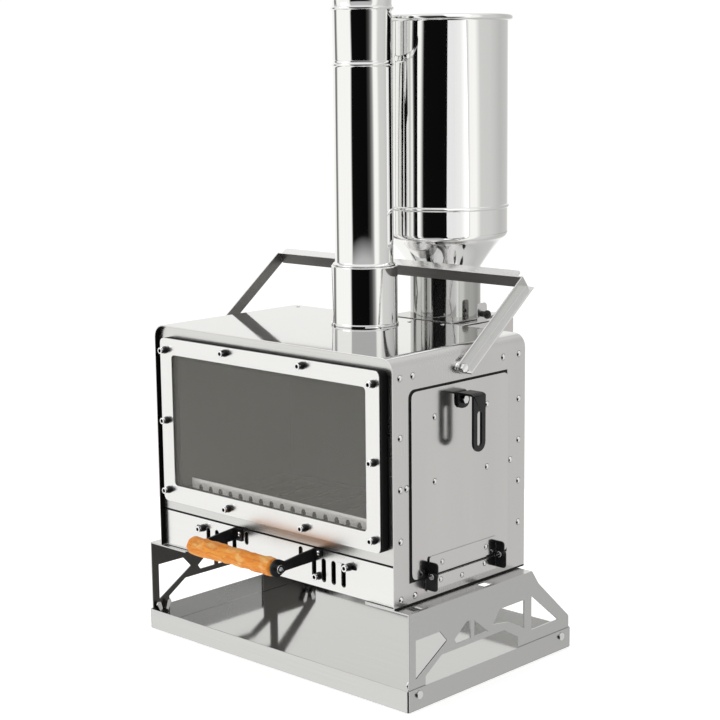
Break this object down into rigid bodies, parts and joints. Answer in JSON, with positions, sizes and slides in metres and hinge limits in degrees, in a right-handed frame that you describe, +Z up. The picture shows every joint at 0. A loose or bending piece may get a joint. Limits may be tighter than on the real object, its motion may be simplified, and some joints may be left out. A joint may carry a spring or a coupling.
{
  "type": "tent wood stove",
  "caption": "Folded stainless tent stove on truss legs in a drip tray, with a glass front, ash drawer, drop-down side door, flue, carrying bail and gated pellet hopper.",
  "frame": {"origin": "bottom centre of the bounding box, on the surface that the tray stands on", "axes": "+Z up along the flue, -Y towards the window and ash drawer, +X towards the side door"},
  "size_m": [0.4876, 0.474, 0.846],
  "materials": {
    "satin_steel": "satin",
    "bright_steel": "satin",
    "polished_steel": "polished",
    "black_steel": "satin",
    "black_knob": "satin",
    "black_seal": "matte",
    "smoked_glass": "gloss",
    "orange_wood": "satin"
  },
  "bodies": {
    "stove": {"tray": "satin_steel", "leg_right": "satin_steel", "leg_left": "satin_steel", "leg_bolt_right_front": "satin_steel", "leg_bolt_right_rear": "satin_steel", "leg_bolt_left_front": "satin_steel", "leg_bolt_left_rear": "satin_steel", "body_shell": "satin_steel", "floor_pan": "satin_steel", "back_panel": "satin_steel", "fire_grate": "satin_steel", "air_rail": "satin_steel", "baffle_plate": "satin_steel", "feed_box": "satin_steel", "gate_guide": "satin_steel", "bail_pivot_right": "satin_steel", "bail_pivot_left": "satin_steel", "front_plate": "bright_steel", "window_frame": "bright_steel", "flue_collar": "polished_steel", "window_screw_01": "black_steel", "window_screw_02": "black_steel", "window_screw_03": "black_steel", "window_screw_04": "black_steel", "window_screw_05": "black_steel", "window_screw_06": "black_steel", "window_screw_07": "black_steel", "window_screw_08": "black_steel", "window_screw_09": "black_steel", "window_screw_10": "black_steel", "body_hinge_leaf": "black_steel", "hinge_pin_front": "black_steel", "hinge_pin_rear": "black_steel", "window_gasket": "black_seal", "window_glass": "smoked_glass"},
    "ash_drawer": {"drawer_front": "bright_steel", "drawer_box": "satin_steel", "drawer_bracket_right": "black_steel", "drawer_bracket_left": "black_steel", "drawer_grip": "orange_wood", "grip_bolt": "satin_steel", "guide_screw_right": "black_steel", "guide_screw_left": "black_steel"},
    "shutter_right": {"air_shutter_right": "bright_steel"},
    "shutter_left": {"air_shutter_left": "bright_steel"},
    "door": {"side_door": "satin_steel", "door_liner": "satin_steel", "door_hinge_leaf": "black_steel"},
    "latch": {"latch_lever": "black_steel", "latch_shaft": "satin_steel"},
    "bail": {"bail_handle": "satin_steel"},
    "gate": {"gate_plate": "satin_steel", "gate_knob": "black_knob"},
    "hopper": {"hopper_neck": "polished_steel", "hopper_funnel": "polished_steel", "hopper_barrel": "polished_steel"},
    "flue_lower": {"flue_pipe_lower": "polished_steel"},
    "flue_upper": {"flue_pipe_upper": "polished_steel"}
  },
  "joints": [
    {"name": "drawer_slide", "type": "slide", "parent": "stove", "child": "ash_drawer", "axis": [0, -1, 0], "range_m": [0, 0.18]},
    {"name": "shutter_right_slide", "type": "slide", "parent": "ash_drawer", "child": "shutter_right", "axis": [1, 0, 0], "range_m": [0, 0.0085]},
    {"name": "shutter_left_slide", "type": "slide", "parent": "ash_drawer", "child": "shutter_left", "axis": [-1, 0, 0], "range_m": [0, 0.0085]},
    {"name": "door_hinge", "type": "hinge", "parent": "stove", "child": "door", "pos_m": [0.2243, -0.04235, 0.1535], "axis": [0, 1, 0], "range_deg": [0, 90]},
    {"name": "latch_turn", "type": "hinge", "parent": "door", "child": "latch", "pos_m": [0.2173, -0.04385, 0.362], "axis": [1, 0, 0], "range_deg": [0, 90]},
    {"name": "bail_swing", "type": "hinge", "parent": "stove", "child": "bail", "pos_m": [-0.0017, -0.04705, 0.4013], "axis": [1, 0, 0], "range_deg": [-11, 6]},
    {"name": "gate_slide", "type": "slide", "parent": "stove", "child": "gate", "axis": [1, 0, 0], "range_m": [0, 0.092]},
    {"name": "hopper_lift", "type": "slide", "parent": "stove", "child": "hopper", "axis": [0, 0, 1], "range_m": [0, 0.1]},
    {"name": "flue_lower_lift", "type": "slide", "parent": "stove", "child": "flue_lower", "axis": [0, 0, 1], "range_m": [0, 0.1]},
    {"name": "flue_upper_lift", "type": "slide", "parent": "flue_lower", "child": "flue_upper", "axis": [0, 0, 1], "range_m": [0, 0.06]}
  ]
}
